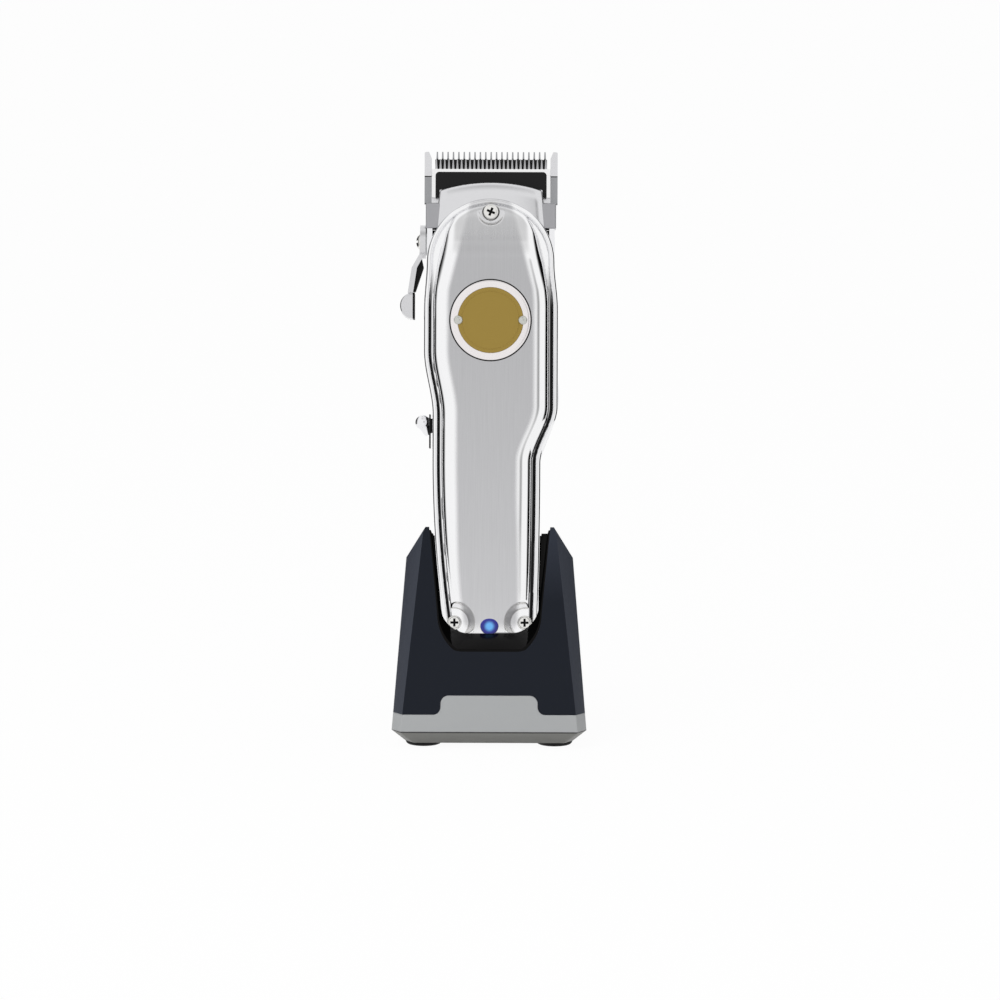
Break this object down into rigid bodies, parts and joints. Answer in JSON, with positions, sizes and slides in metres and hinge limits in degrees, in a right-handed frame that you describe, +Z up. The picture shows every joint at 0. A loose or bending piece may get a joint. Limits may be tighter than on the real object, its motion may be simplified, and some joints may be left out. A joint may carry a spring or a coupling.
{
  "type": "hair clipper",
  "caption": "Cordless hair clipper with polished metal body, taper lever, slide switch and round badge, standing in a leaning charging stand.",
  "frame": {"origin": "centre of the stand's footprint, in the plane of the feet's undersides", "axes": "+Z up, -Y towards the front of the stand and the clipper's lid, +X to the right of a viewer who faces the lid"},
  "size_m": [0.065, 0.082, 0.1956],
  "materials": {
    "polished_alloy": "polished and satin brushed",
    "polished_steel": "mirror polished",
    "blade_steel": "ground",
    "zinc_steel": "plated",
    "gold_plate": "satin",
    "blue_lens": "clear gloss",
    "led_white": "lit",
    "black_plastic": "fine matt",
    "battery_sleeve": "shrink film",
    "board_green": "solder mask",
    "copper_winding": "lacquered",
    "bush_bronze": "sintered",
    "magnet_ferrite": "ferrite",
    "navy_plastic": "satin",
    "gloss_black": "piano gloss",
    "grey_plastic": "satin",
    "dark_grey_plastic": "satin",
    "foot_rubber": "matt",
    "ballast_steel": "plain"
  },
  "bodies": {
    "stand": {"stand_body": "navy_plastic", "cradle_insert": "gloss_black", "base_trim": "grey_plastic", "base_pan": "dark_grey_plastic", "rubber_feet": "foot_rubber", "base_screws": "zinc_steel", "ballast_weight": "ballast_steel", "stand_circuit_board": "board_green", "dock_plug": "zinc_steel", "power_inlet": "black_plastic"},
    "clipper": {"lower_housing": "polished_alloy", "lid": "polished_alloy", "lid_screws": "polished_steel", "badge_bezel": "polished_steel", "badge_plate": "gold_plate", "badge_rivets": "polished_steel", "led_lens": "blue_lens", "status_led": "led_white", "fixed_blade": "blade_steel", "blade_screws": "zinc_steel", "tension_spring": "zinc_steel", "motor_can": "zinc_steel", "motor_end_cap": "black_plastic", "motor_bushes": "bush_bronze", "motor_magnets": "magnet_ferrite", "motor_front_bracket": "black_plastic", "motor_rear_bracket": "black_plastic", "battery": "battery_sleeve", "battery_cradle": "black_plastic", "control_board": "board_green", "charge_socket": "black_plastic", "switch_base": "black_plastic", "lever_washer": "zinc_steel"},
    "taper_lever": {"taper_lever": "polished_steel", "lever_thumb_pad": "polished_steel", "lever_pad_backing": "black_plastic", "lever_rib": "black_plastic", "lever_screw": "polished_steel", "taper_eccentric": "zinc_steel"},
    "taper_slide": {"taper_slide": "zinc_steel"},
    "cutter": {"cutter": "blade_steel", "drive_arm": "black_plastic"},
    "rotor": {"motor_armature": "copper_winding", "motor_commutator": "bush_bronze", "motor_shaft": "zinc_steel", "eccentric_cam": "zinc_steel"},
    "power_switch": {"switch_slider": "black_plastic", "switch_knob": "polished_steel"}
  },
  "joints": [
    {"name": "clipper_lift", "type": "slide", "parent": "stand", "child": "clipper", "axis": [0, 0.1736, 0.9848], "range_m": [0, 0.075]},
    {"name": "taper_lever_swing", "type": "hinge", "parent": "clipper", "child": "taper_lever", "pos_m": [-0.022, 0.01182, 0.16533], "axis": [1, 0, 0], "range_deg": [0, 40]},
    {"name": "taper_adjust", "type": "slide", "parent": "clipper", "child": "taper_slide", "axis": [0, -0.1736, -0.9848], "range_m": [0, 0.00178]},
    {"name": "cutter_stroke", "type": "slide", "parent": "taper_slide", "child": "cutter", "axis": [1, 0, 0], "range_m": [-0.0012, 0.0012]},
    {"name": "motor_spin", "type": "hinge", "parent": "clipper", "child": "rotor", "pos_m": [0, 0.0095, 0.12573], "axis": [0, 0.1736, 0.9848], "continuous": true},
    {"name": "power_switch_slide", "type": "slide", "parent": "clipper", "child": "power_switch", "axis": [0, 0.1736, 0.9848], "range_m": [0, 0.0036]}
  ],
  "couplings": [
    {"joint": "taper_adjust", "follows": "taper_lever_swing", "m_per_rad": 0.0025475}
  ]
}
